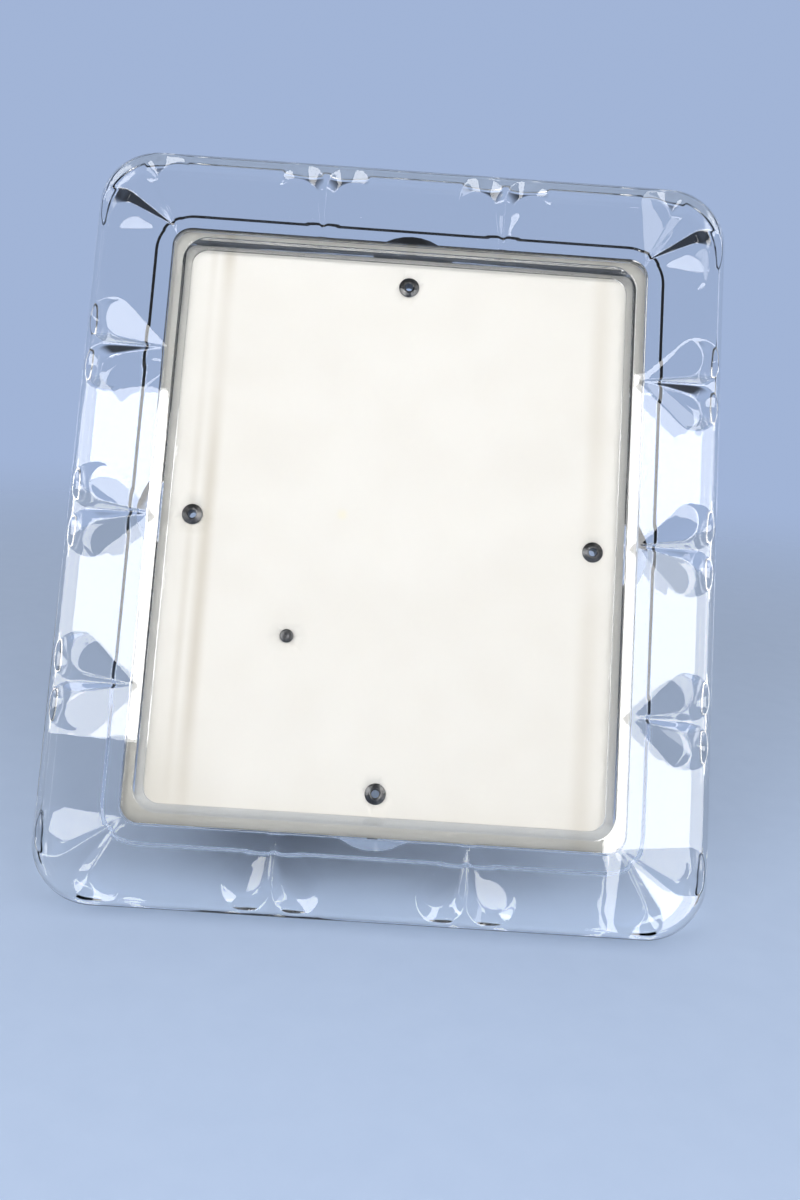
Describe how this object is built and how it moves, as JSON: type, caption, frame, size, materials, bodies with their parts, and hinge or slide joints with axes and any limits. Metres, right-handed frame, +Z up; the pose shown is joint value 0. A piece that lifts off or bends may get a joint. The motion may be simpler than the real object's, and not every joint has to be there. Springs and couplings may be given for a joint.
{
  "type": "crystal picture frame",
  "caption": "Pressed crystal glass picture frame with hearts sunk in its border, a velvet back held by turn buttons and a hinged easel leg for standing upright or sideways.",
  "frame": {"origin": "centre of the bounding box, on the table that the frame stands on", "axes": "+Z up, -Y towards the viewer of the picture, +X to the viewer's right"},
  "size_m": [0.286, 0.1348, 0.3205],
  "materials": {
    "crystal": "fire polished",
    "window_glass": "clear",
    "white_paper": "matte",
    "grey_board": "matte",
    "black_velvet": "flocked",
    "black_paper": "matte",
    "black_ribbon": "woven",
    "gunmetal": "semi-gloss",
    "steel": "plated"
  },
  "bodies": {
    "frame": {"crystal_frame": "crystal", "glass_pane": "window_glass", "white_liner": "white_paper", "board_core": "grey_board", "velvet_back": "black_velvet", "stay_ribbon": "black_ribbon", "hinge_board_leaf": "steel", "hinge_pin": "steel", "hinge_board_rivet_1": "steel", "hinge_board_rivet_2": "steel", "ribbon_rivet_board": "gunmetal", "eyelet_top": "gunmetal", "eyelet_left": "gunmetal", "eyelet_bottom": "gunmetal", "eyelet_right": "gunmetal"},
    "leg": {"leg_core": "grey_board", "leg_velvet": "black_velvet", "leg_lining": "black_paper", "hinge_leg_leaf": "steel", "hinge_leg_rivet_1": "steel", "hinge_leg_rivet_2": "steel", "ribbon_rivet_leg": "gunmetal"},
    "button_top": {"turn_button_top": "gunmetal"},
    "button_left": {"turn_button_left": "gunmetal"},
    "button_bottom": {"turn_button_bottom": "gunmetal"},
    "button_right": {"turn_button_right": "gunmetal"}
  },
  "joints": [
    {"name": "leg_hinge", "type": "hinge", "parent": "frame", "child": "leg", "pos_m": [-0.01064, 0.01013, 0.17027], "axis": [0.8829, -0.1659, -0.4392], "range_deg": [-32.5, 0], "deforming": ["stay_ribbon"]},
    {"name": "button_top_turn", "type": "hinge", "parent": "frame", "child": "button_top", "pos_m": [0, 0.04503, 0.26633], "axis": [0, -0.9354, 0.3535], "continuous": true},
    {"name": "button_left_turn", "type": "hinge", "parent": "frame", "child": "button_left", "pos_m": [-0.0895, 0.00527, 0.16109], "axis": [0, -0.9354, 0.3535], "continuous": true},
    {"name": "button_bottom_turn", "type": "hinge", "parent": "frame", "child": "button_bottom", "pos_m": [0, -0.03626, 0.05118], "axis": [0, -0.9354, 0.3535], "continuous": true},
    {"name": "button_right_turn", "type": "hinge", "parent": "frame", "child": "button_right", "pos_m": [0.0895, 0.0035, 0.15641], "axis": [0, -0.9354, 0.3535], "continuous": true}
  ]
}
